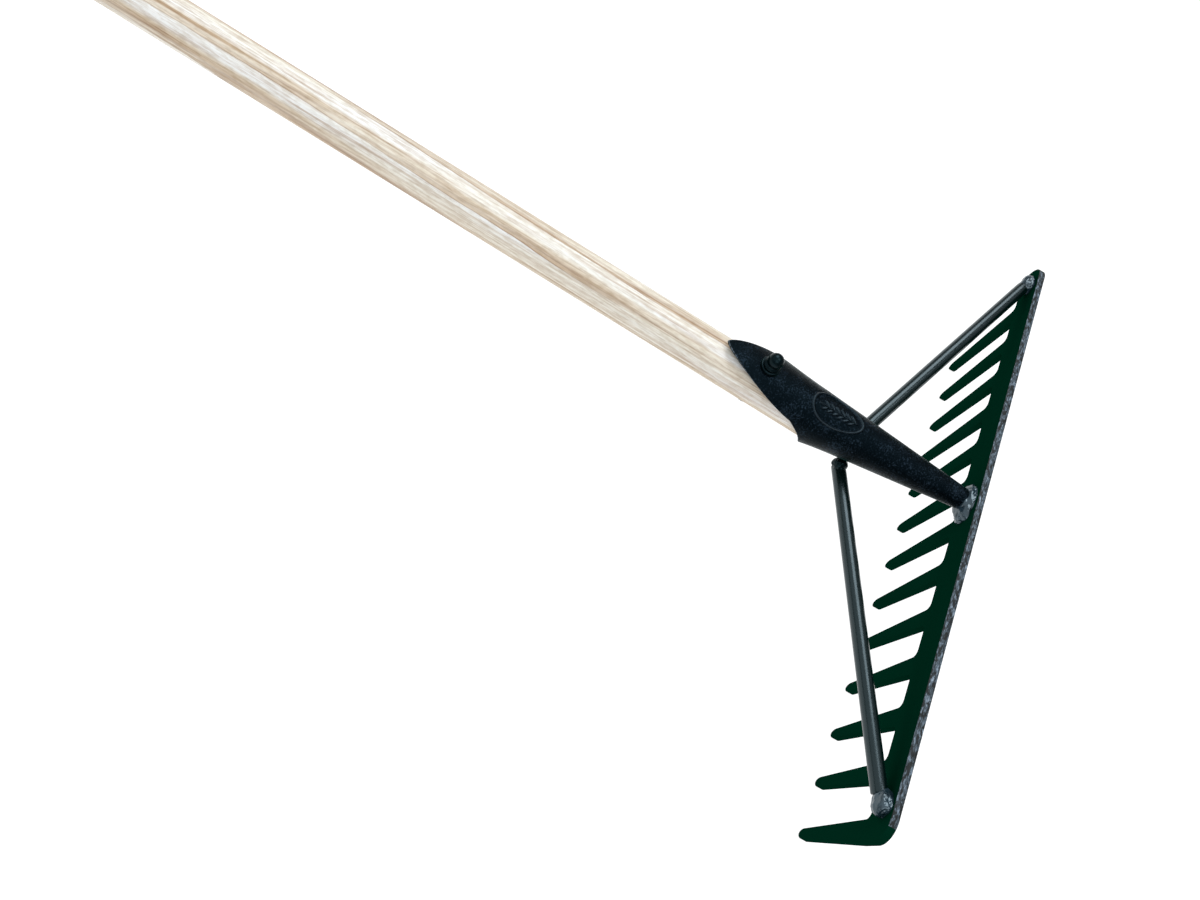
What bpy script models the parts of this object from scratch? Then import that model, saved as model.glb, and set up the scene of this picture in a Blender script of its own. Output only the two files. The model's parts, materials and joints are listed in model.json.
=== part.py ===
"""Garden rake: a flat steel comb, braced by two round stays, on a rolled socket and an ash handle.

The pieces are modelled in the head's own frame, in millimetres: the origin is the middle of the
comb's back edge on its front face, +X runs along the comb, -Y towards the handle and +Z away from
the teeth. An empty then tilts and shifts the whole rake, so that it rests on its tooth tips and on
the butt of its handle, with the origin under the middle of its box. Meshes are in metres, +Z up.
"""

import math

import bmesh
import bpy
from mathutils import Matrix, Vector

MM = 0.001
GAP = 0.3                       # clearance between pieces that touch

# Comb
TOOTH_COUNT = 14
TOOTH_PITCH = 35.0
TOOTH_ROOT_HALF = 6.26
END_HALF = 7.3                  # outer half of the end teeth
TOOTH_TIP_HALF = 3.5
COMB_HEIGHT = 108.4             # back edge to tooth tips
COMB_THICK = 5.0
ROOT_DEPTH = 23.2               # back edge to the roots of the gaps
ROOT_FILLET = 4.5
TIP_LENGTH = 6.5                # length of the rounded point
CORNER_RADIUS = 14.0
COMB_BEVEL = 0.4

# Handle: its axis leaves the comb's plane AXIS_DROP below the back edge and climbs HANDLE_RISE
AXIS_DROP = 22.9
HANDLE_RISE = math.radians(3.27)
HANDLE_RADIUS = 31.75 / 2
HANDLE_LENGTH = 1524.0
NOSE_START = 36.0               # where the handle's nose ends inside the socket
NOSE_TAPER_END = 118.0          # where the handle reaches its full radius
BUTT_ROUND = 6.0
BUTT_END = NOSE_START + HANDLE_LENGTH

# Socket: stations are distances along the handle's axis from the comb
SHEET = 2.0
SOCKET_START = 1.4
SEAM_HALF_ANGLE = 3.0           # degrees each side of the underside
CONE_RADIUS = 7.1
CONE_GROWTH = 0.103
CONE_TOP = 17.5
CONE_TOP_GROWTH = 0.03
TOP_FALL_START = 84.0
TOP_FALL = 0.016
TOP_FALL_REACH = 20.0
FLARE_START = 100.0
FLARE = 0.0011
FLAT_START = 122.0
FLAT_EASE = 12.0
FLAT_REACH = 100.0
MOUTH_STATION = 118.5           # mouth edge on the underside
SHOULDER_STATION = 137.0        # where the tongue leaves the mouth
TONGUE_LENGTH = 62.2
SHOULDER_ANGLE = 66.0
TONGUE_TIP_POWER = 1.45
TONGUE_POWER = 0.9
MOUTH_DECAY = 26.0

# Rivet through the tongue and the handle
RIVET_STATION = 166.5
SHANK_RADIUS = 3.0
RIVET_HEAD_RADIUS = 5.5
RIVET_HEAD_HEIGHT = 11.0
RIVET_DOME = 4.0
RIVET_TAIL_RADIUS = 4.8
RIVET_TAIL_HEIGHT = 2.4
WASHER_RADIUS = 7.2
WASHER_THICK = 1.5

# Stays, by the centres of their ends on the +X side
STAY_RADIUS = 5.0
STAY_CHAMFER = 0.6
STAY_INNER = (9.4, -84.5, -37.4)
STAY_OUTER = (210.2, -(STAY_RADIUS - 0.05), -10.3)

# Welds: half sizes along X, Y and Z
SOCKET_WELD_CENTRE = (0.0, -GAP, -12.9)
SOCKET_WELD_SIZE = (15.5, 9.0, 11.5)
STAY_PLATE_WELD_CENTRE = (214.0, -GAP, -9.4)
STAY_PLATE_WELD_SIZE = (9.5, 6.5, 7.5)
STAY_SOCKET_WELD_CENTRE = (9.9, -85.2, -33.4)
STAY_SOCKET_WELD_SIZE = (7.8, 7.4, 7.8)

ROUND_SEGMENTS = 32
SMALL_SEGMENTS = 24
SMOOTH_LIMIT = math.radians(35)


def clear_scene():
    for obj in list(bpy.data.objects):
        bpy.data.objects.remove(obj, do_unlink=True)


def make_material(name, colour, roughness, metallic):
    mat = bpy.data.materials.new(name)
    mat.use_nodes = True
    shader = mat.node_tree.nodes["Principled BSDF"]
    shader.inputs["Base Color"].default_value = (*colour, 1.0)
    shader.inputs["Roughness"].default_value = roughness
    shader.inputs["Metallic"].default_value = metallic
    mat.diffuse_color = (*colour, 1.0)
    return mat


def add_object(name, bm, mat, parent):
    """Turn a mesh in millimetres into a named, smooth-shaded object in metres."""
    bmesh.ops.recalc_face_normals(bm, faces=bm.faces)
    bmesh.ops.scale(bm, vec=(MM, MM, MM), verts=bm.verts)
    mesh = bpy.data.meshes.new(name)
    bm.to_mesh(mesh)
    bm.free()
    mesh.shade_smooth()
    mesh.set_sharp_from_angle(angle=SMOOTH_LIMIT)
    mesh.materials.append(mat)
    obj = bpy.data.objects.new(name, mesh)
    bpy.context.scene.collection.objects.link(obj)
    obj.parent = parent
    return obj


def add_cutter(name, bm, mat, parent):
    cutter = add_object(name, bm, mat, parent)
    cutter.hide_render = True
    cutter.display_type = "WIRE"
    return cutter


def cut(target, cutter):
    boolean = target.modifiers.new(cutter.name, "BOOLEAN")
    boolean.operation = "DIFFERENCE"
    boolean.solver = "EXACT"
    boolean.object = cutter


def loft(rings):
    """A closed solid through rings of points that all have the same count."""
    bm = bmesh.new()
    loops = [[bm.verts.new(point) for point in ring] for ring in rings]
    count = len(loops[0])
    for lower, upper in zip(loops, loops[1:]):
        for k in range(count):
            after = (k + 1) % count
            bm.faces.new((lower[k], lower[after], upper[after], upper[k]))
    bm.faces.new(reversed(loops[0]))
    bm.faces.new(loops[-1])
    return bm


def circle(centre, across, up, radius, segments):
    ring = []
    for k in range(segments):
        turn = 2 * math.pi * k / segments
        ring.append(centre + radius * (math.cos(turn) * across + math.sin(turn) * up))
    return ring


def turned(profile, base, axis, segments):
    """A solid turned about an axis from (distance along the axis, radius) pairs."""
    axis = axis.normalized()
    across = axis.orthogonal().normalized()
    up = axis.cross(across)
    rings = [circle(base + axis * along, across, up, radius, segments) for along, radius in profile]
    return loft(rings)


def washer(inner, outer, low, high, base, axis):
    """A flat ring between two heights along an axis."""
    axis = axis.normalized()
    across = axis.orthogonal().normalized()
    up = axis.cross(across)
    corners = ((low, inner), (low, outer), (high, outer), (high, inner))
    bm = bmesh.new()
    loops = []
    for along, radius in corners:
        ring = circle(base + axis * along, across, up, radius, SMALL_SEGMENTS)
        loops.append([bm.verts.new(point) for point in ring])
    for side in range(len(loops)):
        near = loops[side]
        far = loops[(side + 1) % len(loops)]
        for k in range(SMALL_SEGMENTS):
            after = (k + 1) % SMALL_SEGMENTS
            bm.faces.new((near[k], near[after], far[after], far[k]))
    return bm


# Handle frame: a station along the axis, x across and v away from the teeth

HANDLE_DIRECTION = Vector((0.0, -math.cos(HANDLE_RISE), math.sin(HANDLE_RISE)))
HANDLE_UP = Vector((0.0, math.sin(HANDLE_RISE), math.cos(HANDLE_RISE)))


def at_station(station, x=0.0, v=0.0):
    origin = Vector((0.0, 0.0, -AXIS_DROP))
    return origin + HANDLE_DIRECTION * station + HANDLE_UP * v + Vector((x, 0.0, 0.0))


def socket_top(station):
    fall = max(0.0, station - TOP_FALL_START)
    return CONE_TOP + CONE_TOP_GROWTH * station - TOP_FALL * fall ** 2 / (fall + TOP_FALL_REACH)


def socket_radius(station):
    """Outer radius: a cone, slightly flared at its mouth, that flattens out along the tongue."""
    along_cone = min(station, FLAT_START)
    radius = CONE_RADIUS + CONE_GROWTH * along_cone + FLARE * max(0.0, along_cone - FLARE_START) ** 2
    past = max(0.0, station - FLAT_START)
    return radius * math.exp(past ** 2 / (past + FLAT_EASE) / FLAT_REACH)


def socket_centre(station):
    return socket_top(station) - socket_radius(station)


def socket_point(station, degrees, inset):
    """A point of the socket's wall, at an angle from its top and a depth below its outer face."""
    turn = math.radians(degrees)
    centre = socket_centre(station)
    pivot = max(0.0, centre)
    below = min(0.0, centre)
    radius = socket_radius(station) - inset
    reach = below * math.cos(turn) + math.sqrt(radius ** 2 - (below * math.sin(turn)) ** 2)
    return at_station(station, reach * math.sin(turn), pivot + reach * math.cos(turn))


def mouth_station(degrees):
    """Station of the socket's free edge: a pointed tongue on top, a plain mouth below."""
    turn = abs(degrees)
    if turn < SHOULDER_ANGLE:
        share = (turn / SHOULDER_ANGLE) ** TONGUE_TIP_POWER
        return SHOULDER_STATION + TONGUE_LENGTH * (1 - share) ** TONGUE_POWER
    rise = SHOULDER_STATION - MOUTH_STATION
    return MOUTH_STATION + rise * math.exp(-(turn - SHOULDER_ANGLE) / MOUTH_DECAY)


def socket_angles():
    """Angles across the sheet, closer together where the tongue's edge curves."""
    half = [SHOULDER_ANGLE * k / 13 for k in range(1, 14)]
    rest = 180.0 - SEAM_HALF_ANGLE - SHOULDER_ANGLE
    half += [SHOULDER_ANGLE + rest * k / 11 for k in range(1, 12)]
    return [-angle for angle in reversed(half)] + [0.0] + half


def build_socket(mat, parent):
    """Sheet rolled into a cone, with an open seam along the underside."""
    rows = 14
    angles = socket_angles()
    bm = bmesh.new()
    skins = []
    for inset in (0.0, SHEET):
        skin = []
        for k in range(rows + 1):
            row = []
            for angle in angles:
                station = SOCKET_START + (mouth_station(angle) - SOCKET_START) * k / rows
                row.append(bm.verts.new(socket_point(station, angle, inset)))
            skin.append(row)
        skins.append(skin)
    outer, inner = skins
    columns = len(angles) - 1
    for k in range(rows):
        for j in range(columns):
            bm.faces.new((outer[k][j], outer[k][j + 1], outer[k + 1][j + 1], outer[k + 1][j]))
            bm.faces.new((inner[k][j], inner[k + 1][j], inner[k + 1][j + 1], inner[k][j + 1]))
        for j in (0, columns):
            bm.faces.new((outer[k][j], outer[k + 1][j], inner[k + 1][j], inner[k][j]))
    for j in range(columns):
        for k in (0, rows):
            bm.faces.new((outer[k][j], outer[k][j + 1], inner[k][j + 1], inner[k][j]))
    return add_object("socket", bm, mat, parent)


def socket_envelope(name, last_station, mat, parent):
    """Solid cone that clears the socket's outer face, for shaping the welds round it."""
    rings = []
    steps = 6
    for k in range(steps + 1):
        station = -4.0 + (last_station + 4.0) * k / steps
        centre = at_station(station, 0.0, socket_centre(station))
        radius = socket_radius(station) + GAP
        rings.append(circle(centre, Vector((1, 0, 0)), HANDLE_UP, radius, 48))
    return add_cutter(name, loft(rings), mat, parent)


def build_handle(mat, parent):
    """Round pole, with a tapered nose that follows the inside of the socket."""
    rings = []
    nose_rings = 9
    for k in range(nose_rings + 1):
        share = k / nose_rings
        station = NOSE_START + (NOSE_TAPER_END - NOSE_START) * share
        centre = socket_centre(NOSE_START) * (1 - share)
        room = socket_radius(station) - SHEET - 2 * GAP - abs(socket_centre(station) - centre)
        radius = min(HANDLE_RADIUS, room)
        rings.append((station, centre, radius))
    full = NOSE_TAPER_END + 8.0
    rings.append((full, 0.0, HANDLE_RADIUS))
    rings.append((BUTT_END / 2, 0.0, HANDLE_RADIUS))
    steps = 5
    for k in range(steps + 1):
        turn = math.pi / 2 * k / steps
        station = BUTT_END - BUTT_ROUND * (1 - math.sin(turn))
        rings.append((station, 0.0, HANDLE_RADIUS - BUTT_ROUND * (1 - math.cos(turn))))
    circles = []
    for station, centre, radius in rings:
        middle = at_station(station, 0.0, centre)
        circles.append(circle(middle, Vector((1, 0, 0)), HANDLE_UP, radius, ROUND_SEGMENTS))
    return add_object("handle", loft(circles), mat, parent)


def tooth_outline(middle):
    """One tooth and half a gap each side, from right to left, as (x, z) points."""
    root = -ROOT_DEPTH
    tip_start = -(COMB_HEIGHT - TIP_LENGTH)
    flank_top = root - ROOT_FILLET
    points = []
    for side in (1, -1):
        fillet_x = middle + side * (TOOTH_ROOT_HALF + ROOT_FILLET)
        arc = []
        for k in range(5):
            turn = math.pi / 2 * k / 4
            x = fillet_x - side * ROOT_FILLET * math.sin(turn)
            z = flank_top + ROOT_FILLET * math.cos(turn)
            arc.append((x, z))
        points.append(arc)
    tip = []
    for k in range(9):
        turn = math.pi * k / 8
        x = middle + TOOTH_TIP_HALF * math.cos(turn)
        z = tip_start - TIP_LENGTH * math.sin(turn)
        tip.append((x, z))
    right, left = points
    return right, tip, list(reversed(left))


def comb_outline():
    """The comb's whole outline, clockwise from the left end of its back edge."""
    end = TOOTH_PITCH * (TOOTH_COUNT - 1) / 2 + END_HALF
    outline = []
    for side in (-1, 1):
        corner = []
        for k in range(7):
            turn = math.pi / 2 * k / 6
            x = side * (end - CORNER_RADIUS + CORNER_RADIUS * math.cos(turn))
            z = -CORNER_RADIUS + CORNER_RADIUS * math.sin(turn)
            corner.append((x, z))
        outline += corner if side < 0 else list(reversed(corner))
    for i in reversed(range(TOOTH_COUNT)):
        middle = TOOTH_PITCH * (i - (TOOTH_COUNT - 1) / 2)
        right, tip, left = tooth_outline(middle)
        if i < TOOTH_COUNT - 1:
            outline += right
        else:
            outline.append((end, right[-1][1]))
        outline += tip
        if i > 0:
            outline += left
        else:
            outline.append((-end, left[0][1]))
    return outline


def build_comb(mat, parent):
    bm = bmesh.new()
    outline = comb_outline()
    front = [bm.verts.new((x, 0.0, z)) for x, z in outline]
    back = [bm.verts.new((x, COMB_THICK, z)) for x, z in outline]
    bm.faces.new(front)
    bm.faces.new(reversed(back))
    for k in range(len(outline)):
        after = (k + 1) % len(outline)
        bm.faces.new((front[k], back[k], back[after], front[after]))
    rims = [edge for edge in bm.edges if abs(edge.verts[0].co.y - edge.verts[1].co.y) < 1e-6]
    bmesh.ops.recalc_face_normals(bm, faces=bm.faces)
    bmesh.ops.bevel(bm, geom=rims, offset=COMB_BEVEL, segments=1, affect="EDGES", clamp_overlap=True)
    return add_object("head_plate", bm, mat, parent)


def build_rivet(mat, parent):
    """Rivet with a tall domed head, its top washer, and the rove that it is clenched over."""
    base = at_station(RIVET_STATION)
    washer_low = socket_top(RIVET_STATION) + GAP + 0.25
    washer_high = washer_low + WASHER_THICK
    head_low = washer_high + GAP
    head_high = head_low + RIVET_HEAD_HEIGHT
    rove_high = -HANDLE_RADIUS - GAP
    rove_low = rove_high - WASHER_THICK
    tail_high = rove_low - GAP
    profile = []
    for k in range(4):
        turn = math.pi / 2 * (k + 1) / 4
        along = tail_high - RIVET_TAIL_HEIGHT * math.cos(turn)
        profile.append((along, RIVET_TAIL_RADIUS * math.sin(turn)))
    profile += [(tail_high, SHANK_RADIUS), (head_low, SHANK_RADIUS), (head_low, RIVET_HEAD_RADIUS)]
    for k in range(5):
        turn = math.pi / 2 * k / 5
        along = head_high - RIVET_DOME * (1 - math.sin(turn))
        profile.append((along, RIVET_HEAD_RADIUS * math.cos(turn)))
    add_object("rivet", turned(profile, base, HANDLE_UP, SMALL_SEGMENTS), mat, parent)
    hole = SHANK_RADIUS + GAP
    top_washer = washer(hole, WASHER_RADIUS, washer_low, washer_high, base, HANDLE_UP)
    add_object("rivet_washer", top_washer, mat, parent)
    rove = washer(hole, WASHER_RADIUS, rove_low, rove_high, base, HANDLE_UP)
    add_object("rivet_rove", rove, mat, parent)
    bore = turned([(-30.0, hole), (30.0, hole)], base, HANDLE_UP, SMALL_SEGMENTS)
    return add_cutter("rivet_bore", bore, mat, parent)


def mirrored(point, side):
    return Vector((point[0] * side, point[1], point[2]))


def stay_solid(side, grow):
    """A stay with chamfered ends; grown, it is the space that the welds leave for it."""
    inner = mirrored(STAY_INNER, side)
    outer = mirrored(STAY_OUTER, side)
    length = (outer - inner).length
    radius = STAY_RADIUS + grow
    profile = [
        (-grow, radius - STAY_CHAMFER),
        (STAY_CHAMFER - grow, radius),
        (length - STAY_CHAMFER + grow, radius),
        (length + grow, radius - STAY_CHAMFER),
    ]
    return turned(profile, inner, outer - inner, SMALL_SEGMENTS)


def lump(centre, size, flat):
    """A weld bead: a whole ellipsoid, or half of one that stands on the comb's front face."""
    bm = bmesh.new()
    bmesh.ops.create_uvsphere(bm, u_segments=SMALL_SEGMENTS, v_segments=12, radius=1.0)
    bmesh.ops.rotate(bm, matrix=Matrix.Rotation(math.pi / 2, 3, "X"), verts=bm.verts)
    if flat:
        outside = [vert for vert in bm.verts if vert.co.y > 1e-4]
        bmesh.ops.delete(bm, geom=outside, context="VERTS")
        rim = [edge for edge in bm.edges if edge.is_boundary]
        bmesh.ops.contextual_create(bm, geom=rim)
    bmesh.ops.scale(bm, vec=size, verts=bm.verts)
    bmesh.ops.translate(bm, vec=centre, verts=bm.verts)
    return bm


def build_stays_and_welds(stay_mat, weld_mat, parent):
    envelope = socket_envelope("socket_envelope", 112.0, weld_mat, parent)
    ring = lump(SOCKET_WELD_CENTRE, SOCKET_WELD_SIZE, True)
    cut(add_object("weld_socket_plate", ring, weld_mat, parent), envelope)
    for name, side in (("left", -1), ("right", 1)):
        add_object("stay_" + name, stay_solid(side, 0.0), stay_mat, parent)
        space = add_cutter("stay_space_" + name, stay_solid(side, GAP), weld_mat, parent)
        at_plate = lump(mirrored(STAY_PLATE_WELD_CENTRE, side), STAY_PLATE_WELD_SIZE, True)
        cut(add_object(f"weld_stay_{name}_plate", at_plate, weld_mat, parent), space)
        at_socket = lump(mirrored(STAY_SOCKET_WELD_CENTRE, side), STAY_SOCKET_WELD_SIZE, False)
        bead = add_object(f"weld_stay_{name}_socket", at_socket, weld_mat, parent)
        cut(bead, envelope)
        cut(bead, space)


def stand_on_floor(parent):
    """Tilt and shift the rake onto its tooth tips and the lower rim of its butt."""
    butt = at_station(BUTT_END - BUTT_ROUND, 0.0, -HANDLE_RADIUS)
    tilt = math.atan2(butt.z + COMB_HEIGHT, -butt.y)
    parent.rotation_euler = (tilt, 0.0, 0.0)
    turn = Matrix.Rotation(tilt, 3, "X")
    corners = []
    for obj in parent.children:
        if not obj.hide_render:
            corners += [turn @ vert.co for vert in obj.data.vertices]
    lowest = min(point.z for point in corners)
    nearest = min(point.y for point in corners)
    furthest = max(point.y for point in corners)
    parent.location = (0.0, -(nearest + furthest) / 2, -lowest)


def main():
    clear_scene()
    paint = make_material("dark_green_enamel", (0.004, 0.022, 0.013), 0.4, 0.0)
    powder = make_material("black_powder_coat", (0.012, 0.016, 0.019), 0.5, 0.0)
    bead = make_material("painted_weld", (0.02, 0.028, 0.034), 0.3, 0.0)
    ash = make_material("pale_ash", (0.72, 0.6, 0.42), 0.55, 0.0)
    frame = bpy.data.objects.new("rake_frame", None)
    bpy.context.scene.collection.objects.link(frame)
    build_comb(paint, frame)
    socket = build_socket(powder, frame)
    handle = build_handle(ash, frame)
    bore = build_rivet(powder, frame)
    cut(socket, bore)
    cut(handle, bore)
    build_stays_and_welds(powder, bead, frame)
    stand_on_floor(frame)


main()
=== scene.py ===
"""Looks for the garden rake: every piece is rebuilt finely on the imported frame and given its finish.

Shapes are worked out in the head's own frame, in millimetres: the origin is the middle of the
comb's back edge on its front face, +X runs along the comb, -Y towards the handle and +Z away from
the teeth. Stations are distances along the handle's axis from the comb. Two of the record's mounts
give where that frame lies.
"""

import json
import math

import bmesh
import bpy
from mathutils import Matrix, Vector, noise


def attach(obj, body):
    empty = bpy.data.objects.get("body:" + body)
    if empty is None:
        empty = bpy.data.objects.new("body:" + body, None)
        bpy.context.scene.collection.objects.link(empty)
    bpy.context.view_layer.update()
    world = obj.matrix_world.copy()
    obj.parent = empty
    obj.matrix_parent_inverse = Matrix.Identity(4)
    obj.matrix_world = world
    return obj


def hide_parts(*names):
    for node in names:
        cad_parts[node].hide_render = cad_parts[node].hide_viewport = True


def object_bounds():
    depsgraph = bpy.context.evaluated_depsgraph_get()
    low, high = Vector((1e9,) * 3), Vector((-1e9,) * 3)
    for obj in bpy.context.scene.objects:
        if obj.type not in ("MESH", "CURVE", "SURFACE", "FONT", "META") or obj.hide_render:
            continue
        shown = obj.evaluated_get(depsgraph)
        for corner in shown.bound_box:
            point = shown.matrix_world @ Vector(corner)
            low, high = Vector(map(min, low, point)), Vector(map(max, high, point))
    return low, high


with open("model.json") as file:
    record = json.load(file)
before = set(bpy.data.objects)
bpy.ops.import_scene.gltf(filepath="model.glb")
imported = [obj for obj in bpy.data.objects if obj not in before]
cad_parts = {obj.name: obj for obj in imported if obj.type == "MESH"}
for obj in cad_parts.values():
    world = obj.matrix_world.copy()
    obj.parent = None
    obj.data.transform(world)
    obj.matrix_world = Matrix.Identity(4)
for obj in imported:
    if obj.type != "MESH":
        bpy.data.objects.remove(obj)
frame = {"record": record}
cad_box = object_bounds()

MM = 0.001

# Comb
TOOTH_COUNT = 14
TOOTH_PITCH = 35.0
TOOTH_ROOT_HALF = 6.26
END_HALF = 7.3                  # outer half of the end teeth
TOOTH_TIP_HALF = 3.5
COMB_HEIGHT = 108.4             # back edge to tooth tips
COMB_THICK = 5.0
ROOT_DEPTH = 23.2               # back edge to the roots of the gaps
ROOT_FILLET = 4.5
TIP_LENGTH = 6.5                # length of the rounded point
CORNER_RADIUS = 14.0
COMB_BEVEL = 0.45
BACK_EDGE_DEPTH = 1.05          # how far down the back edge's worn finish, partly a painted highlight, reaches

# Handle: its axis leaves the comb's plane AXIS_DROP below the back edge and climbs HANDLE_RISE
AXIS_DROP = 22.9
HANDLE_RISE = math.radians(3.27)
HANDLE_RADIUS = 31.75 / 2
HANDLE_LENGTH = 1524.0
NOSE_START = 36.0               # where the handle's nose ends inside the socket
NOSE_TAPER_END = 118.0          # where the handle reaches its full radius
NOSE_GAP = 0.6                  # room between the nose and the socket's inner face
BUTT_END = NOSE_START + HANDLE_LENGTH
BUTT_ROUND = 6.0

# Socket
SHEET = 2.0
SHEET_EDGE_ROUND = 0.9
SOCKET_START = 1.4
SEAM_HALF_ANGLE = 3.0           # degrees each side of the underside
CONE_RADIUS = 7.1
CONE_GROWTH = 0.103
CONE_TOP = 17.5
CONE_TOP_GROWTH = 0.03
TOP_FALL_START = 84.0
TOP_FALL = 0.016
TOP_FALL_REACH = 20.0
FLARE_START = 100.0
FLARE = 0.0011
FLAT_START = 122.0
FLAT_EASE = 12.0
FLAT_REACH = 100.0
MOUTH_STATION = 118.5           # mouth edge on the underside
SHOULDER_STATION = 137.0        # where the tongue leaves the mouth
TONGUE_LENGTH = 62.2
SHOULDER_ANGLE = 66.0
TONGUE_TIP_POWER = 1.45
TONGUE_POWER = 0.9
MOUTH_DECAY = 26.0

# Oval badge pressed into the socket, with a sprig of paired leaves
BADGE_STATION = 111.5
BADGE_TURN = 6.0                # degrees from the socket's top
BADGE_HALF_LENGTH = 20.0
BADGE_HALF_ANGLE = 35.0
BADGE_RIM_HEIGHT = 0.85
BADGE_DITCH_DEPTH = 0.12
BADGE_FIELD_DEPTH = 0.35
BADGE_PALE_RELIEF_HEIGHT = 0.36      # relief above this gets a paler coat, partly rubbing and partly a painted highlight
SPRIG_HEIGHT = 0.8              # above the badge's field
STEM_HALF_LENGTH = 15.0
STEM_HALF_WIDTH = 0.4
LEAF_PAIRS = 6
LEAF_SPACING = 4.1
FIRST_LEAF = -13.5
LEAF_STAGGER = 0.9              # between the two sides of the stem
LEAF_LENGTH = 5.4
LEAF_WIDTH = 1.15
LEAF_LEAN = math.radians(38)
LEAF_ROOT = 0.5                 # distance of a leaf's foot from the stem's middle

# Rivet
RIVET_STATION = 166.5
RIVET_HEAD_RADIUS = 5.5
RIVET_HEAD_HEIGHT = 11.0
RIVET_FLANGE_RADIUS = RIVET_HEAD_RADIUS + 0.5
RIVET_TAIL_RADIUS = 4.8
RIVET_TAIL_HEIGHT = 2.4
WASHER_RADIUS = 7.2
WASHER_THICK = 1.5
WASHER_ROUND = 0.7
WASHER_HOLE = 3.4
ROVE_ROUND = 0.3
ROVE_HOLE = 3.3
SHANK_RADIUS = 3.0

# Stays and welds, on the +X side; a weld's size is its half sizes along X, Y and Z
STAY_RADIUS = 5.0
STAY_END_ROUND = 0.8
STAY_INNER = (9.4, -84.5, -37.4)
STAY_OUTER = (210.2, -(STAY_RADIUS - 0.05), -10.3)
NOSE_WELD_CENTRE = (1.2, 0.4, -13.2)
NOSE_WELD_SIZE = (15.5, 7.6, 10.6)
OUTER_WELD_CENTRE = (214.0, -2.4, -9.2)
OUTER_WELD_SIZE = (8.4, 6.2, 7.2)
INNER_WELD_CENTRE = (10.0, -85.2, -33.4)
INNER_WELD_SIZE = (5.9, 5.2, 5.6)

# Ash grain, in metres: the pith lies outside the pole, to its +X side and below its axis
PITH_ACROSS = 0.060
PITH_BELOW = 0.033
PITH_LEAN = 0.010               # the pith's sideways drift per metre of handle
RING_WIDTH = 0.0140
RING_WANDER = 0.009
RING_RIPPLE = 0.0026
RING_SHIFT = -0.0038            # sets which part of a ring runs along the top

# Faint green sheen that the dark coats show at their outlines
GREEN_RIM = {"Sheen_Weight": 0.06, "Sheen_Roughness": 0.3, "Sheen_Tint": (0.0, 0.55, 0.38, 1.0)}

# Studio: each soft box has a name, an energy, a width in degrees and the way that its light goes
FLOOR_HALF_SIZE = 30.0
FLOOR_GAP = 0.0003
WORLD_COLOUR = (0.90, 0.95, 1.0, 1.0)
WORLD_STRENGTH = 0.30
LIGHT_COLOUR = (0.94, 0.97, 1.0)
SOFT_BOXES = (
    ("left_box", 1.25, 34, (0.58, 0.25, -0.77)),
    ("top_box", 0.8, 26, (0.15, -0.23, -0.96)),
    ("right_box", 0.85, 44, (-0.62, -0.07, -0.78)),
    ("fill", 0.8, 80, (-0.10, 0.62, -0.76)),
)

# Camera, in the head's own frame
CAMERA_EYE = Vector((364.8, -244.8, 456.6))
CAMERA_FORWARD = Vector((-0.4831, 0.0171, -0.8754))
CAMERA_UP = Vector((-0.7651, -0.4943, 0.4125))
SENSOR_WIDTH = 36.0
LENS = 26.1

MOUNTS = {mount["name"]: mount for mount in frame["record"]["mounts"]}
HEAD_UP = Vector(MOUNTS["comb_back_edge"]["axis"]).normalized()
HEAD_BACK = Vector(MOUNTS["comb_rear_face"]["axis"]).normalized()
HEAD_ALONG = HEAD_BACK.cross(HEAD_UP)
HEAD_ORIGIN = Vector(MOUNTS["comb_back_edge"]["pos_m"]) - HEAD_BACK * COMB_THICK / 2 * MM
HEAD_TURN = Matrix((HEAD_ALONG, HEAD_BACK, HEAD_UP)).transposed()
HEAD = Matrix.Translation(HEAD_ORIGIN) @ HEAD_TURN.to_4x4() @ Matrix.Scale(MM, 4)

HANDLE_DIRECTION = Vector((0.0, -math.cos(HANDLE_RISE), math.sin(HANDLE_RISE)))
HANDLE_UP = Vector((0.0, math.sin(HANDLE_RISE), math.cos(HANDLE_RISE)))
ACROSS = Vector((1.0, 0.0, 0.0))


# ---------------------------------------------------------------- meshes

def finish_piece(name, bm, mats, node, sharp_degrees=40.0):
    """Turn a mesh in head-frame millimetres into a smooth-shaded piece that stands for a CAD node."""
    bmesh.ops.recalc_face_normals(bm, faces=bm.faces)
    bmesh.ops.transform(bm, matrix=HEAD, verts=bm.verts)
    mesh = bpy.data.meshes.new(name)
    bm.to_mesh(mesh)
    bm.free()
    mesh.shade_smooth()
    mesh.set_sharp_from_angle(angle=math.radians(sharp_degrees))
    for mat in mats:
        mesh.materials.append(mat)
    obj = bpy.data.objects.new(name, mesh)
    bpy.context.scene.collection.objects.link(obj)
    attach(obj, "root")
    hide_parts(node)
    return obj


def loft(rings, caps=True):
    """Skin between rings of points that all have the same count, closed at both ends."""
    bm = bmesh.new()
    loops = [[bm.verts.new(point) for point in ring] for ring in rings]
    count = len(loops[0])
    for lower, upper in zip(loops, loops[1:]):
        for k in range(count):
            after = (k + 1) % count
            bm.faces.new((lower[k], lower[after], upper[after], upper[k]))
    if caps:
        bm.faces.new(reversed(loops[0]))
        bm.faces.new(loops[-1])
    return bm, loops


def circle(centre, across, up, radius, segments):
    ring = []
    for k in range(segments):
        turn = 2 * math.pi * k / segments
        ring.append(centre + radius * (math.cos(turn) * across + math.sin(turn) * up))
    return ring


def turned(profile, base, axis, segments):
    """A solid turned about an axis from (distance along the axis, radius) pairs."""
    axis = axis.normalized()
    across = axis.orthogonal().normalized()
    up = axis.cross(across)
    rings = [circle(base + axis * along, across, up, radius, segments) for along, radius in profile]
    return loft(rings)[0]


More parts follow.
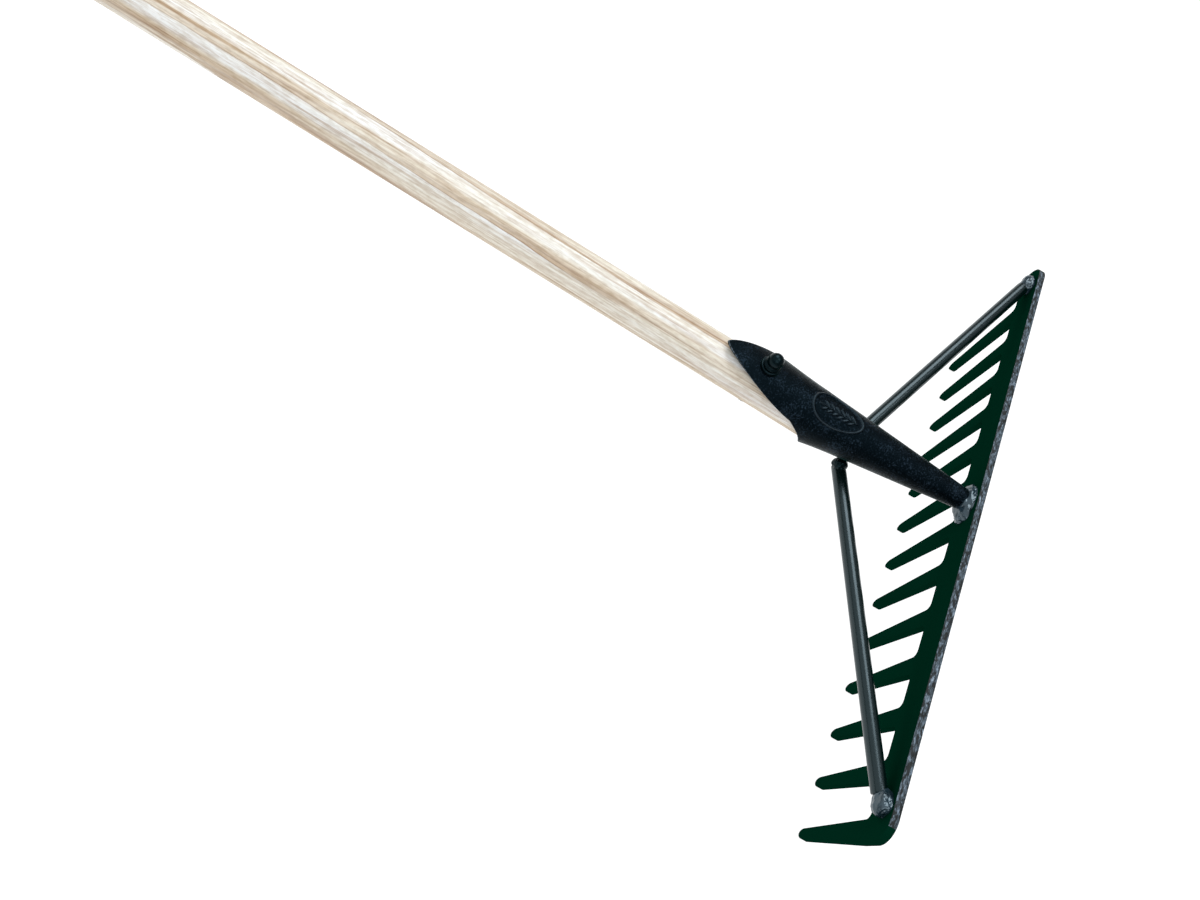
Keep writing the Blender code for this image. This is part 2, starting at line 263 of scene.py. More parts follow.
def arc(centre_along, centre_radius, size, start, end, steps):
    """Profile points on a circle; angles in degrees, 0 outwards and 90 along the axis."""
    points = []
    for k in range(steps + 1):
        turn = math.radians(start + (end - start) * k / steps)
        points.append((centre_along + size * math.sin(turn), centre_radius + size * math.cos(turn)))
    return points


def at_station(station, x=0.0, v=0.0):
    origin = Vector((0.0, 0.0, -AXIS_DROP))
    return origin + HANDLE_DIRECTION * station + HANDLE_UP * v + ACROSS * x


def socket_top(station):
    fall = max(0.0, station - TOP_FALL_START)
    return CONE_TOP + CONE_TOP_GROWTH * station - TOP_FALL * fall ** 2 / (fall + TOP_FALL_REACH)


def socket_radius(station):
    """Outer radius: a cone, slightly flared at its mouth, that flattens out along the tongue."""
    along_cone = min(station, FLAT_START)
    radius = CONE_RADIUS + CONE_GROWTH * along_cone + FLARE * max(0.0, along_cone - FLARE_START) ** 2
    past = max(0.0, station - FLAT_START)
    return radius * math.exp(past ** 2 / (past + FLAT_EASE) / FLAT_REACH)


def socket_centre(station):
    return socket_top(station) - socket_radius(station)


def socket_point(station, degrees, inset):
    """A point of the socket's wall, at an angle from its top and a depth below its outer face."""
    turn = math.radians(degrees)
    centre = socket_centre(station)
    pivot = max(0.0, centre)
    below = min(0.0, centre)
    radius = socket_radius(station) - inset
    reach = below * math.cos(turn) + math.sqrt(radius ** 2 - (below * math.sin(turn)) ** 2)
    return at_station(station, reach * math.sin(turn), pivot + reach * math.cos(turn))


def mouth_station(degrees):
    """Station of the socket's free edge: a pointed tongue on top, a plain mouth below."""
    turn = abs(degrees)
    if turn < SHOULDER_ANGLE:
        share = (turn / SHOULDER_ANGLE) ** TONGUE_TIP_POWER
        return SHOULDER_STATION + TONGUE_LENGTH * (1 - share) ** TONGUE_POWER
    rise = SHOULDER_STATION - MOUTH_STATION
    return MOUTH_STATION + rise * math.exp(-(turn - SHOULDER_ANGLE) / MOUTH_DECAY)


def smooth_step(low, high, value):
    """0 at low, 1 at high and a soft S between them; low may be the greater."""
    share = min(1.0, max(0.0, (value - low) / (high - low)))
    return share * share * (3 - 2 * share)


def leaf_height(x, y, base_x, side):
    """Height, from 0 to 1, of one leaf of the sprig that decorates the badge."""
    dx = x - base_x
    dy = y * side - LEAF_ROOT
    along = dx * math.cos(LEAF_LEAN) + dy * math.sin(LEAF_LEAN)
    across = -dx * math.sin(LEAF_LEAN) + dy * math.cos(LEAF_LEAN)
    if not 0 < along < LEAF_LENGTH:
        return 0.0
    half = LEAF_WIDTH * math.sin(math.pi * (along / LEAF_LENGTH) ** 0.8)
    return smooth_step(half, 0.55 * half, abs(across)) if half > 0 else 0.0


def sprig_height(x, y):
    """Height, from 0 to 1, of the badge's sprig: a stem with paired leaves."""
    across_stem = smooth_step(STEM_HALF_WIDTH + 0.15, STEM_HALF_WIDTH - 0.15, abs(y))
    height = across_stem * smooth_step(STEM_HALF_LENGTH + 0.5, STEM_HALF_LENGTH - 0.5, abs(x))
    for k in range(LEAF_PAIRS):
        foot = FIRST_LEAF + LEAF_SPACING * k
        height = max(height, leaf_height(x, y, foot, -1), leaf_height(x, y, foot + LEAF_STAGGER, 1))
    return height


def badge_height(station, degrees):
    """Relief of the badge: a raised oval rim round a sunk field with a plain leaf sprig."""
    along = (station - BADGE_STATION) / BADGE_HALF_LENGTH
    around = (degrees - BADGE_TURN) / BADGE_HALF_ANGLE
    out = math.hypot(along, around)
    if out > 1.12:
        return 0.0
    rim = smooth_step(0.06, 0.015, abs(out - 0.96))
    ditch = smooth_step(0.07, 0.02, abs(out - 1.06))
    field = smooth_step(0.92, 0.86, out)
    x = station - BADGE_STATION
    y = math.radians(degrees - BADGE_TURN) * socket_radius(station)
    sprig = sprig_height(x, y) * smooth_step(0.84, 0.78, out)
    grain = noise.noise(Vector((x, y, 0.0)) * 1.6) * 0.05
    sunk = -BADGE_FIELD_DEPTH + SPRIG_HEIGHT * sprig + grain
    return BADGE_RIM_HEIGHT * rim - BADGE_DITCH_DEPTH * ditch + field * sunk


def socket_angles():
    """Angles across the sheet: fine over the badge and the tongue, coarser underneath."""
    fine = 80
    coarse = 40
    last = 180.0 - SEAM_HALF_ANGLE
    half = [SHOULDER_ANGLE * k / fine for k in range(1, fine + 1)]
    half += [SHOULDER_ANGLE + (last - SHOULDER_ANGLE) * k / coarse for k in range(1, coarse + 1)]
    return [-angle for angle in reversed(half)] + [0.0] + half


def socket_stations(degrees, rows):
    """Evenly spaced stations from the socket's nose to where its free edge starts to round."""
    last = mouth_station(degrees) - SHEET_EDGE_ROUND
    return [SOCKET_START + (last - SOCKET_START) * k / rows for k in range(rows + 1)]


def build_socket(mat, wear_and_highlight_mat, relief_mat):
    """Sheet rolled into a cone, with rounded free edges whose worn coat is partly a painted highlight, and
    a badge whose high parts get a paler coat, partly rubbed and partly a painted highlight.
    """
    rows = 330
    inner_rows = 60
    edge_steps = 8
    pale_edge_steps = 3
    angles = socket_angles()
    rings = []
    for angle in angles:
        ring = []
        for station in socket_stations(angle, rows):
            ring.append(socket_point(station, angle, -badge_height(station, angle)))
        last = mouth_station(angle) - SHEET_EDGE_ROUND
        for k in range(1, edge_steps):
            turn = math.pi * k / edge_steps
            station = last + SHEET_EDGE_ROUND * math.sin(turn)
            ring.append(socket_point(station, angle, SHEET / 2 * (1 - math.cos(turn))))
        for station in reversed(socket_stations(angle, inner_rows)):
            ring.append(socket_point(station, angle, SHEET))
        rings.append(ring)
    bm, loops = loft(rings, caps=False)
    bm.faces.ensure_lookup_table()
    for column, angle in enumerate(angles[:-1]):
        first_face = column * len(loops[0])
        # The first rows of the free edge get the pale worn coat, partly a painted highlight.
        for k in range(rows, rows + pale_edge_steps):
            bm.faces[first_face + k].material_index = 1
        for k, station in enumerate(socket_stations(angle, rows)[:-1]):
            # High relief gets the paler coat, partly a painted highlight.
            if badge_height(station, angle) > BADGE_PALE_RELIEF_HEIGHT:
                bm.faces[first_face + k].material_index = 2
    bm.faces.new(loops[0])
    bm.faces.new(loops[-1])
    finish_piece("rolled_socket", bm, [mat, wear_and_highlight_mat, relief_mat], "socket", 60)


def build_handle(mat):
    """Round pole with a rounded butt and a tapered nose that follows the inside of the socket."""
    rings = []
    nose_rings = 20
    for k in range(nose_rings + 1):
        share = k / nose_rings
        station = NOSE_START + (NOSE_TAPER_END - NOSE_START) * share
        centre = socket_centre(NOSE_START) * (1 - share)
        room = socket_radius(station) - SHEET - NOSE_GAP - abs(socket_centre(station) - centre)
        rings.append((station, centre, min(HANDLE_RADIUS, room)))
    straight = 140
    first = NOSE_TAPER_END + 8.0
    last = BUTT_END - BUTT_ROUND - 1.0
    for k in range(straight + 1):
        rings.append((first + (last - first) * k / straight, 0.0, HANDLE_RADIUS))
    steps = 12
    for k in range(steps + 1):
        turn = math.pi / 2 * k / steps
        station = BUTT_END - BUTT_ROUND * (1 - math.sin(turn))
        rings.append((station, 0.0, HANDLE_RADIUS - BUTT_ROUND * (1 - math.cos(turn))))
    circles = []
    for station, centre, radius in rings:
        circles.append(circle(at_station(station, 0.0, centre), ACROSS, HANDLE_UP, radius, 96))
    bm = loft(circles)[0]
    finish_piece("ash_handle", bm, [mat], "handle")


def tooth_outline(middle):
    """The outline round one tooth: its right fillet, its point and its left fillet."""
    root = -ROOT_DEPTH
    tip_start = -(COMB_HEIGHT - TIP_LENGTH)
    fillets = []
    for side in (1, -1):
        fillet_x = middle + side * (TOOTH_ROOT_HALF + ROOT_FILLET)
        points = []
        steps = 10
        for k in range(steps + 1):
            turn = math.pi / 2 * k / steps
            x = fillet_x - side * ROOT_FILLET * math.sin(turn)
            z = root - ROOT_FILLET + ROOT_FILLET * math.cos(turn)
            points.append((x, z))
        fillets.append(points)
    tip = []
    steps = 24
    for k in range(steps + 1):
        turn = math.pi * k / steps
        x = middle + TOOTH_TIP_HALF * math.cos(turn)
        z = tip_start - TIP_LENGTH * math.sin(turn)
        tip.append((x, z))
    right, left = fillets
    return right, tip, list(reversed(left))


def comb_outline():
    """The comb's whole outline, clockwise from the left end of its back edge."""
    end = TOOTH_PITCH * (TOOTH_COUNT - 1) / 2 + END_HALF
    outline = []
    steps = 16
    for side in (-1, 1):
        corner = []
        for k in range(steps + 1):
            turn = math.pi / 2 * k / steps
            x = side * (end - CORNER_RADIUS + CORNER_RADIUS * math.cos(turn))
            z = -CORNER_RADIUS + CORNER_RADIUS * math.sin(turn)
            corner.append((x, z))
        outline += corner if side < 0 else list(reversed(corner))
    for i in reversed(range(TOOTH_COUNT)):
        middle = TOOTH_PITCH * (i - (TOOTH_COUNT - 1) / 2)
        right, tip, left = tooth_outline(middle)
        outline += right if i < TOOTH_COUNT - 1 else [(end, right[-1][1])]
        outline += tip
        outline += left if i > 0 else [(-end, left[0][1])]
    return outline


def inset_outline(outline, depth):
    """The outline moved inwards by a depth, point by point along its mitred normals."""
    moved = []
    count = len(outline)
    for k in range(count):
        before = Vector(outline[k - 1])
        here = Vector(outline[k])
        after = Vector(outline[(k + 1) % count])
        first = (here - before).normalized()
        second = (after - here).normalized()
        normal_a = Vector((first.y, -first.x))
        normal_b = Vector((second.y, -second.x))
        mitre = normal_a + normal_b
        mitre /= max(0.5, mitre.length_squared / 2)
        moved.append(here + mitre * depth)
    return moved


def build_comb(face_mat, wear_and_highlight_mat, shade_painted_side_mat):
    """Flat comb with rounded edges; its back edge gets the worn coat, partly a painted highlight, and its
    other sides a nearly black coat as painted shade.
    """
    outline = comb_outline()
    steps = 4
    rings = []
    for far in (False, True):
        for k in range(steps + 1):
            turn = math.pi / 2 * (k / steps if not far else 1 - k / steps)
            depth = COMB_BEVEL * (1 - math.sin(turn))
            step_in = COMB_BEVEL * (1 - math.cos(turn))
            y = COMB_THICK - step_in if far else step_in
            rings.append([(point.x, y, point.y) for point in inset_outline(outline, depth)])
    bm, loops = loft(rings)
    for loop in (loops[0], loops[-1]):
        for k in range(len(loop)):
            edge = bm.edges.get((loop[k], loop[(k + 1) % len(loop)]))
            edge.smooth = False
    for face in bm.faces:
        slope = abs(face.normal.y)
        # The back edge gets the pale worn coat, partly a painted highlight.
        if face.calc_center_median().z > -BACK_EDGE_DEPTH and slope < 0.8:
            face.material_index = 1
        # Sides that face along the comb get a nearly black coat as painted shade.
        elif slope < 0.5:
            face.material_index = 2
    finish_piece("steel_comb", bm, [face_mat, wear_and_highlight_mat, shade_painted_side_mat], "head_plate", 50)


def rivet_head(low):
    """Profile of the head: a low rounded flange that runs in a small fillet into a tall dome."""
    high = low + RIVET_HEAD_HEIGHT
    profile = arc(low + 1.0, RIVET_FLANGE_RADIUS - 1.0, 1.0, -90, 60, 8)
    profile += arc(low + 3.1, RIVET_HEAD_RADIUS + 0.25, -0.9, 60, 0, 5)
    steps = 16
    for k in range(steps):
        turn = math.pi / 2 * k / steps
        along = high - RIVET_HEAD_RADIUS + RIVET_HEAD_RADIUS * math.sin(turn)
        profile.append((along, (RIVET_HEAD_RADIUS - 0.1) * math.cos(turn) ** 0.9))
    return profile


def rivet_tail(high):
    """Profile of the clenched end on the underside, a flat dome."""
    profile = []
    steps = 8
    for k in range(1, steps + 1):
        turn = math.pi / 2 * k / steps
        profile.append((high - RIVET_TAIL_HEIGHT * math.cos(turn), RIVET_TAIL_RADIUS * math.sin(turn)))
    return profile


def build_rivet(mat):
    """Rivet through tongue and handle, the collar under its head and the rove under its tail."""
    base = at_station(RIVET_STATION)
    seat = socket_top(RIVET_STATION) - 0.3
    collar_low = seat - 1.0
    collar_high = seat + 0.85 + WASHER_THICK
    rove_high = -HANDLE_RADIUS + 0.5
    rove_low = -HANDLE_RADIUS - 0.3 - WASHER_THICK
    head_low = collar_high + 0.1
    shank = [(rove_low + 0.1, SHANK_RADIUS), (head_low, SHANK_RADIUS)]
    bm = turned(rivet_tail(rove_low) + shank + rivet_head(head_low), base, HANDLE_UP, 64)
    finish_piece("domed_rivet", bm, [mat], "rivet", 50)
    collar = [(collar_low, WASHER_HOLE), (collar_low, WASHER_RADIUS)]
    collar += arc(collar_high - WASHER_ROUND, WASHER_RADIUS - WASHER_ROUND, WASHER_ROUND, 0, 90, 6)
    collar.append((collar_high, WASHER_HOLE))
    bm = turned(collar, base, HANDLE_UP, 64)
    finish_piece("rivet_collar", bm, [mat], "rivet_washer", 50)
    rove = [(rove_low, ROVE_HOLE)]
    rove += arc(rove_low + ROVE_ROUND, WASHER_RADIUS - ROVE_ROUND, ROVE_ROUND, -90, 0, 4)
    rove += [(rove_high, WASHER_RADIUS), (rove_high, ROVE_HOLE)]
    bm = turned(rove, base, HANDLE_UP, 64)
    finish_piece("clenched_rove", bm, [mat], "rivet_rove", 50)


def mirrored(point, side):
    return Vector((point[0] * side, point[1], point[2]))


def build_stay(name, side, mat):
    """Round rod with softly rounded ends."""
    inner = mirrored(STAY_INNER, side)
    outer = mirrored(STAY_OUTER, side)
    length = (outer - inner).length
    straight = length - 2 * STAY_END_ROUND
    shoulder = STAY_RADIUS - STAY_END_ROUND
    profile = arc(STAY_END_ROUND, shoulder, STAY_END_ROUND, -90, 0, 5)
    steps = 40
    for k in range(1, steps):
        profile.append((STAY_END_ROUND + straight * k / steps, STAY_RADIUS))
    profile += arc(length - STAY_END_ROUND, shoulder, STAY_END_ROUND, 0, 90, 5)
    bm = turned(profile, inner, outer - inner, 48)
    finish_piece("round_stay_" + name, bm, [mat], "stay_" + name, 50)


def weld_lump(name, node, centre, size, ripple, seed, mat):
    """A bead of weld: an ellipsoid with lumps and ripples, cut off flat inside the comb's thickness."""
    bm = bmesh.new()
    bmesh.ops.create_icosphere(bm, subdivisions=6, radius=1.0)
    shift = Vector((seed, seed * 1.7, seed * 0.6))
    for vert in bm.verts:
        direction = vert.co.copy()
        lumps = noise.noise(direction * 1.5 + shift) * 0.16
        lumps += noise.noise(direction * 3.4 + shift) * 0.06
        warp = noise.noise(direction * 2.0 - shift) * 1.2
        phase = ripple.dot(direction) * 7 + warp * 3
        rings = abs(math.sin(phase)) * 0.02
        vert.co = direction * (1 + lumps + rings - 0.02)
    bmesh.ops.scale(bm, vec=size, verts=bm.verts)
    bmesh.ops.translate(bm, vec=centre, verts=bm.verts)
    for vert in bm.verts:
        vert.co.y = min(vert.co.y, COMB_THICK / 2)
    finish_piece(name, bm, [mat], node, 80)


def build_welds(mat, dark_mat):
    """Five beads: round the socket's nose and, in a pair each, at both ends of the stays."""
    weld_lump("nose_weld", "weld_socket_plate", Vector(NOSE_WELD_CENTRE), NOSE_WELD_SIZE,
              Vector((0.9, 0.3, 0.3)), 3.1, mat)
    for name, side in (("left", -1), ("right", 1)):
        weld_lump(f"outer_weld_{name}", f"weld_stay_{name}_plate",
                  mirrored(OUTER_WELD_CENTRE, side), OUTER_WELD_SIZE,
                  Vector((0.8 * side, 0.5, 0.2)), 7.4 + side, mat)
        weld_lump(f"inner_weld_{name}", f"weld_stay_{name}_socket",
                  mirrored(INNER_WELD_CENTRE, side), INNER_WELD_SIZE,
                  Vector((0.4 * side, 0.8, 0.3)), 12.3 + side, dark_mat)


# ---------------------------------------------------------------- materials

class Finish:
    """A material being put together: constants go on the shader, patterns come from nodes."""

    def __init__(self, name, **constants):
        self.mat = bpy.data.materials.new(name)
        self.mat.use_nodes = True
        self.tree = self.mat.node_tree
        self.shader = self.tree.nodes["Principled BSDF"]
        for socket, value in constants.items():
            self.shader.inputs[socket.replace("_", " ")].default_value = value

    def add(self, kind, inputs, **settings):
        node = self.tree.nodes.new("ShaderNode" + kind)
        for key, value in settings.items():
            setattr(node, key, value)
        for key, value in inputs.items():
            if isinstance(value, bpy.types.NodeSocket):
                self.tree.links.new(value, node.inputs[key])
            else:
                node.inputs[key].default_value = value
        return node

    def place(self):
        return self.add("TexCoord", {}).outputs["Object"]

    def math(self, operation, first, second=0.0, third=0.0):
        node = self.add("Math", {0: first, 1: second, 2: third}, operation=operation)
        return node.outputs[0]

    def dot(self, vector, direction):
        node = self.add("VectorMath", {0: vector, 1: direction}, operation="DOT_PRODUCT")
        return node.outputs["Value"]

    def stretch(self, vector, scale):
        node = self.add("VectorMath", {0: vector, 1: scale}, operation="MULTIPLY")
        return node.outputs[0]

    def noise(self, vector, scale, detail=3.0, roughness=0.5):
        inputs = {"Vector": vector, "Scale": scale, "Detail": detail, "Roughness": roughness}
        return self.add("TexNoise", inputs).outputs["Fac"]

    def streaks(self, vector, scales, detail, roughness):
        """Noise with a scale of its own along each axis."""
        return self.noise(self.stretch(vector, scales), 1.0, detail, roughness)

    def ramp(self, value, stops):
        """A colour ramp; a stop's colour is red, green and blue, or one number for a grey."""
        node = self.add("ValToRGB", {"Fac": value})
        elements = node.color_ramp.elements
        while len(elements) < len(stops):
            elements.new(1.0)
        for element, (position, colour) in zip(elements, stops):
            element.position = position
            element.color = (*colour, 1.0) if not isinstance(colour, float) else (colour,) * 3 + (1.0,)
        return node.outputs["Color"]

    def mix(self, share, first, second, blend="MIX"):
        node = self.add("Mix", {}, data_type="RGBA", blend_type=blend)
        for socket, value in ((node.inputs[0], share), (node.inputs[6], first), (node.inputs[7], second)):
            if isinstance(value, bpy.types.NodeSocket):
                self.tree.links.new(value, socket)
            elif isinstance(value, tuple):
                socket.default_value = (*value, 1.0)
            else:
                socket.default_value = value
        return node.outputs[2]

    def drive(self, socket, value):
        self.tree.links.new(value, self.shader.inputs[socket])

    def bump(self, height, distance, strength=1.0):
        node = self.add("Bump", {"Height": height, "Distance": distance, "Strength": strength})
        self.drive("Normal", node.outputs[0])


def growth_rings(finish, across, up, along, rod):
    """Place between one growth ring and the next, from 0 to 1, round a pith beside the pole."""
    axis_height = (HEAD_TURN @ (at_station(0.0) * MM) + HEAD_ORIGIN).dot(HEAD_TURN @ HANDLE_UP)
    wander = finish.streaks(rod, (14.0, 14.0, 2.4), 1.5, 0.4)
    ripple = finish.streaks(rod, (60.0, 60.0, 22.0), 3.0, 0.6)
    lean = finish.math("MULTIPLY", along, PITH_LEAN)
    pith_x = finish.math("ADD", finish.math("ADD", across, -PITH_ACROSS), lean)
    pith_up = finish.math("ADD", up, PITH_BELOW - axis_height)
    square_x = finish.math("MULTIPLY", pith_x, pith_x)
    square_up = finish.math("MULTIPLY", pith_up, pith_up)
    radius = finish.math("SQRT", finish.math("ADD", square_x, square_up))
    radius = finish.math("ADD", radius, finish.math("MULTIPLY_ADD", wander, RING_WANDER, RING_SHIFT))
    radius = finish.math("ADD", radius, finish.math("MULTIPLY", ripple, RING_RIPPLE))
    return finish.math("FRACT", finish.math("DIVIDE", radius, RING_WIDTH))


def ash_finish():
    """Pale ash: rings of brown earlywood cut lengthwise, with fine fibres and open pores."""
    finish = Finish("pale_ash", Roughness=0.5, Specular_IOR_Level=0.3)
    place = finish.place()
    along = finish.dot(place, HEAD_TURN @ HANDLE_DIRECTION)
    up = finish.dot(place, HEAD_TURN @ HANDLE_UP)
    across = finish.dot(place, ACROSS)
    rod = finish.add("CombineXYZ", {0: across, 1: up, 2: along}).outputs[0]
    ring = growth_rings(finish, across, up, along, rod)
    wood = finish.ramp(ring, [
        (0.0, (0.92, 0.91, 0.88)),
        (0.02, (0.38, 0.24, 0.15)),
        (0.07, (0.63, 0.48, 0.33)),
        (0.15, (0.54, 0.39, 0.26)),
        (0.18, (0.41, 0.27, 0.17)),
        (0.24, (0.61, 0.47, 0.33)),
        (0.40, (0.73, 0.62, 0.47)),
        (0.58, (0.92, 0.91, 0.88)),
    ])
    fade = finish.ramp(finish.streaks(rod, (110.0, 110.0, 5.0), 2.0, 0.5), [(0.38, 0.15), (0.58, 1.0)])
    wood = finish.mix(fade, (0.90, 0.85, 0.74), wood)
    fibre = finish.streaks(rod, (620.0, 620.0, 22.0), 4.0, 0.7)
    lines = finish.streaks(rod, (300.0, 300.0, 5.0), 3.0, 0.65)
    figure = finish.streaks(rod, (420.0, 420.0, 130.0), 3.0, 0.6)
    pores = finish.ramp(finish.streaks(rod, (2600.0, 2600.0, 120.0), 2.0, 0.5), [(0.66, 0.0), (0.74, 1.0)])
    early = finish.ramp(ring, [(0.0, 0.75), (0.35, 0.1), (0.9, 0.05), (1.0, 0.75)])
    fibre_tint = finish.ramp(fibre, [(0.38, (0.60, 0.48, 0.38)), (0.56, 1.0)])
    line_tint = finish.ramp(lines, [(0.36, (0.62, 0.48, 0.36)), (0.44, 1.0)])
    figure_tint = finish.ramp(figure, [(0.38, (0.74, 0.68, 0.60)), (0.56, 1.0)])
    wood = finish.mix(0.6, wood, fibre_tint, "MULTIPLY")
    wood = finish.mix(0.7, wood, line_tint, "MULTIPLY")
    wood = finish.mix(finish.math("MULTIPLY", pores, early), wood, (0.36, 0.25, 0.16))
    wood = finish.mix(0.5, wood, figure_tint, "MULTIPLY")
    finish.drive("Base Color", wood)
    finish.bump(fibre, 0.00012, 0.35)
    return finish.mat


def coat_finish(name, dark, light, speck_size, amount, roughness, pebble_strength, **constants):
    """Near-black coat with a fine paler speckle painted in as glints, glossier than the rest, and a
    pebbled skin.
    """
    finish = Finish(name, **constants)
    place = finish.place()
    speck = finish.noise(place, 1.0 / speck_size, 4.0, 0.7)
    cloud = finish.math("SUBTRACT", finish.noise(place, 60.0, 3.0, 0.5), 0.5)
    speck = finish.math("ADD", speck, finish.math("MULTIPLY", cloud, 0.35))
    # Paler specks in the base colour are painted glints.
    speck_and_glint_mask = finish.ramp(speck, [(0.53, 0.0), (0.53 + amount, 1.0)])
    finish.drive("Base Color", finish.mix(speck_and_glint_mask, dark, light))
    finish.drive("Roughness", finish.ramp(speck, [(0.45, roughness + 0.04), (0.62, roughness * 0.6)]))
    pebbles = finish.noise(place, 1.3 / speck_size, 3.0, 0.6)
    finish.bump(pebbles, 0.0003, pebble_strength)
    return finish.mat


def powder_finish():
    """The socket's blue-black powder coat."""
    return coat_finish("black_powder_coat", (0.0001, 0.0006, 0.0010), (0.016, 0.026, 0.038),
                       0.0012, 0.13, 0.40, 0.9,
                       Specular_IOR_Level=0.08, Specular_Tint=(0.35, 0.72, 1.0, 1.0), **GREEN_RIM)


def rivet_finish():
    """A smoother dark coat, on the rivet, its two washers and the welds under the socket."""
    return coat_finish("rivet_coat", (0.0001, 0.0014, 0.0020), (0.001, 0.004, 0.006),
                       0.0016, 0.3, 0.30, 0.04,
                       Specular_IOR_Level=0.18, Specular_Tint=(0.45, 0.85, 1.0, 1.0), **GREEN_RIM)


def stay_finish():
    """Satin green-black on the stays, which throws a soft bright streak along them."""
    return coat_finish("stay_coat", (0.0002, 0.0040, 0.0036), (0.001, 0.006, 0.006),
                       0.0009, 0.25, 0.24, 0.06,
                       Specular_IOR_Level=0.6, Specular_Tint=(0.72, 0.92, 1.0, 1.0), **GREEN_RIM)


def relief_finish():
    """The badge's rim and leaves, paler where handling has rubbed the coat and as a painted highlight on
    the relief.
    """
    return coat_finish("rubbed_relief_and_painted_highlight", (0.002, 0.005, 0.008), (0.016, 0.026, 0.034),
                       0.0008, 0.2, 0.36, 0.2,
                       Specular_IOR_Level=0.35, Specular_Tint=(0.6, 0.85, 1.0, 1.0))


def enamel_finish():
    """Very dark green enamel on flat plate, with faint clouds and the odd darker rub."""
    finish = Finish("dark_green_enamel", Specular_IOR_Level=0.0)
    place = finish.place()
    cloud = finish.noise(place, 22.0, 4.0, 0.55)
    clouded = finish.ramp(cloud, [(0.35, 0.0), (0.65, 1.0)])
    green = finish.mix(clouded, (0.0003, 0.0640, 0.0300), (0.0005, 0.0760, 0.0380))
    rub = finish.ramp(finish.streaks(place, (160.0, 900.0, 900.0), 3.0, 0.6), [(0.70, 0.0), (0.80, 0.35)])
    finish.drive("Base Color", finish.mix(rub, green, (0.004, 0.030, 0.022)))
    finish.drive("Roughness", finish.ramp(cloud, [(0.3, 0.42), (0.7, 0.58)]))
    grain = finish.noise(place, 1400.0, 3.0, 0.6)
    finish.bump(grain, 0.0001, 0.35)
    return finish.mat


def shade_painted_side_finish():
    """The comb's sheared sides, coloured nearly black as painted shade."""
    finish = Finish("painted_shade_sheared_sides", Roughness=0.6, Specular_IOR_Level=0.0,
                    Base_Color=(0.0002, 0.0200, 0.0100, 1.0))
    return finish.mat


def wear_and_highlight_finish():
    """Grey scratched steel with dark chips, on the comb's back edge and the sheet's free edge; its pale
    grey is partly wear and partly a painted highlight.
    """
    finish = Finish("worn_back_edge_and_painted_highlight", Specular_IOR_Level=0.4)
    place = finish.place()
    streaks = finish.streaks(place, (260.0, 900.0, 900.0), 5.0, 0.7)
    chips = finish.streaks(place, (190.0, 520.0, 520.0), 4.0, 0.65)
    grey = finish.ramp(streaks, [
        (0.36, (0.004, 0.008, 0.010)),
        (0.47, (0.030, 0.045, 0.055)),
        (0.56, (0.095, 0.130, 0.165)),
        (0.68, (0.300, 0.370, 0.440)),
    ])
    chipped = finish.ramp(chips, [(0.50, 0.0), (0.54, 1.0)])
    finish.drive("Base Color", finish.mix(chipped, grey, (0.001, 0.004, 0.004)))
    finish.drive("Roughness", finish.ramp(streaks, [(0.3, 0.65), (0.75, 0.38)]))
    finish.bump(finish.math("ADD", streaks, finish.math("MULTIPLY", chips, -0.8)), 0.0004, 0.8)
    return finish.mat


def weld_finish():
    """Paint over weld bead: glossy and unevenly dark."""
    finish = Finish("painted_weld", Specular_IOR_Level=1.0, Specular_Tint=(0.75, 0.92, 1.0, 1.0))
    place = finish.place()
    cloud = finish.noise(place, 160.0, 3.0, 0.5)
    paint = finish.ramp(cloud, [(0.35, (0.004, 0.010, 0.015)), (0.65, (0.018, 0.036, 0.050))])
    finish.drive("Base Color", paint)
    finish.drive("Roughness", finish.ramp(cloud, [(0.3, 0.24), (0.7, 0.16)]))
    return finish.mat


def floor_finish():
    """Pale floor that gives off some light, so that it stays white under the soft boxes."""
    finish = Finish("pale_floor", Specular_IOR_Level=0.0, Roughness=0.9, Base_Color=(0.2, 0.2, 0.2, 1.0),
                    Emission_Color=(1.0, 1.0, 1.0, 1.0), Emission_Strength=0.94)
    return finish.mat


# ---------------------------------------------------------------- stage, light and camera

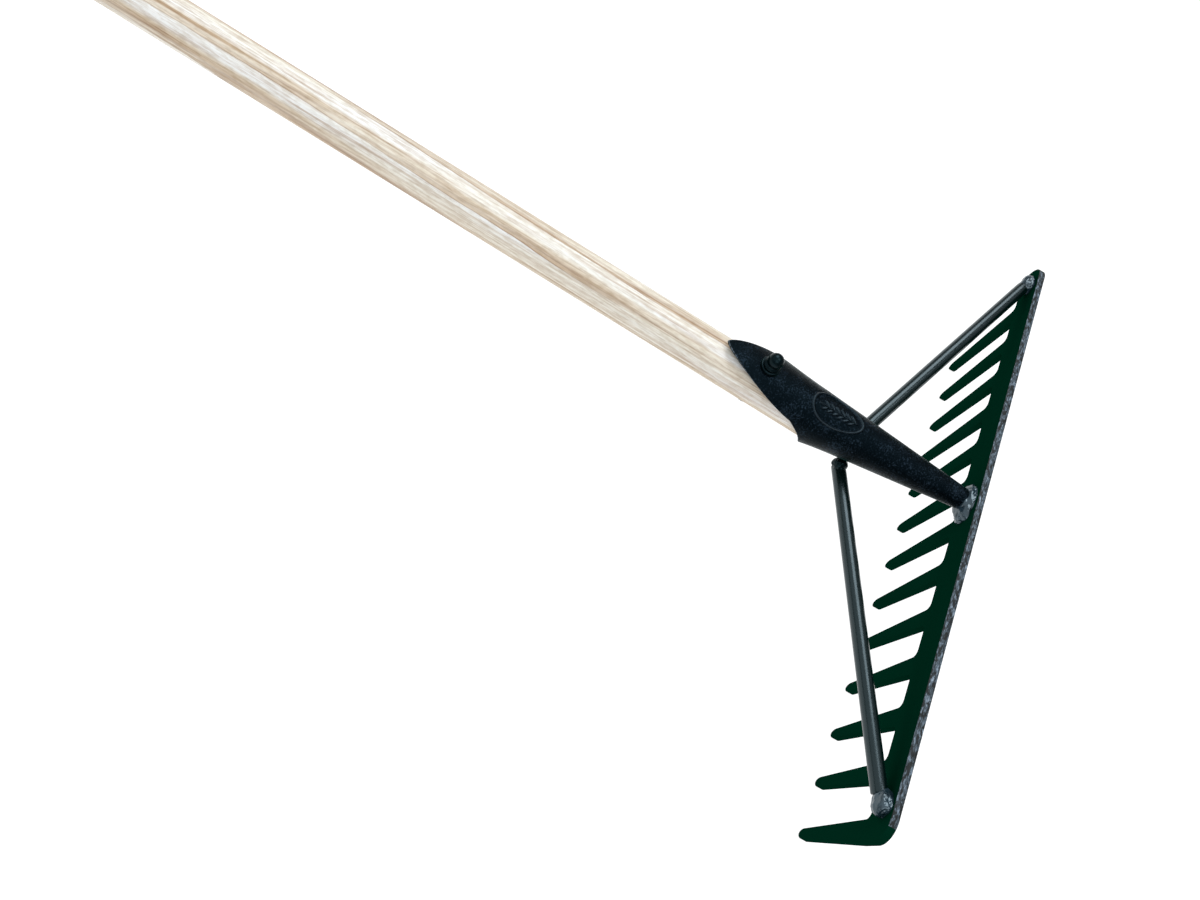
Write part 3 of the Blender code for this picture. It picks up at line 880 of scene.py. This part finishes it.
def build_stage():
    """The floor, just under the rake's lowest point."""
    size = FLOOR_HALF_SIZE
    mesh = bpy.data.meshes.new("studio_floor")
    corners = [(-size, -size, 0), (size, -size, 0), (size, size, 0), (-size, size, 0)]
    mesh.from_pydata(corners, [], [(0, 1, 2, 3)])
    mesh.materials.append(floor_finish())
    floor = bpy.data.objects.new("studio_floor", mesh)
    floor.location.z = cad_box[0].z - FLOOR_GAP
    bpy.context.scene.collection.objects.link(floor)


def build_light():
    """A dim world, three soft boxes for the highlights and a wide fill."""
    world = bpy.data.worlds.new("studio")
    world.use_nodes = True
    background = world.node_tree.nodes["Background"]
    background.inputs["Color"].default_value = WORLD_COLOUR
    background.inputs["Strength"].default_value = WORLD_STRENGTH
    bpy.context.scene.world = world
    for name, energy, degrees, direction in SOFT_BOXES:
        light = bpy.data.lights.new(name, "SUN")
        light.energy = energy
        light.angle = math.radians(degrees)
        light.color = LIGHT_COLOUR
        lamp = bpy.data.objects.new(name, light)
        lamp.rotation_mode = "QUATERNION"
        lamp.rotation_quaternion = Vector(direction).to_track_quat("-Z", "Y")
        bpy.context.scene.collection.objects.link(lamp)
    bpy.context.scene.view_settings.view_transform = "Standard"


def build_camera():
    """Above the comb's +X half, looking steeply down across the socket."""
    data = bpy.data.cameras.new("camera")
    data.sensor_width = SENSOR_WIDTH
    data.lens = LENS
    data.clip_start = 0.01
    data.clip_end = 100.0
    right = CAMERA_FORWARD.cross(CAMERA_UP).normalized()
    up = right.cross(CAMERA_FORWARD).normalized()
    turn = HEAD_TURN @ Matrix((right, up, -CAMERA_FORWARD.normalized())).transposed()
    camera = bpy.data.objects.new("camera", data)
    camera.matrix_world = Matrix.Translation(HEAD @ CAMERA_EYE) @ turn.to_4x4()
    bpy.context.scene.collection.objects.link(camera)
    bpy.context.scene.camera = camera


def main():
    build_camera()
    build_stage()
    build_light()
    wear_and_highlight_coat = wear_and_highlight_finish()
    rivet_coat = rivet_finish()
    stay_coat = stay_finish()
    build_comb(enamel_finish(), wear_and_highlight_coat, shade_painted_side_finish())
    build_socket(powder_finish(), wear_and_highlight_coat, relief_finish())
    build_handle(ash_finish())
    build_rivet(rivet_coat)
    for name, side in (("left", -1), ("right", 1)):
        build_stay(name, side, stay_coat)
    build_welds(weld_finish(), rivet_coat)


main()
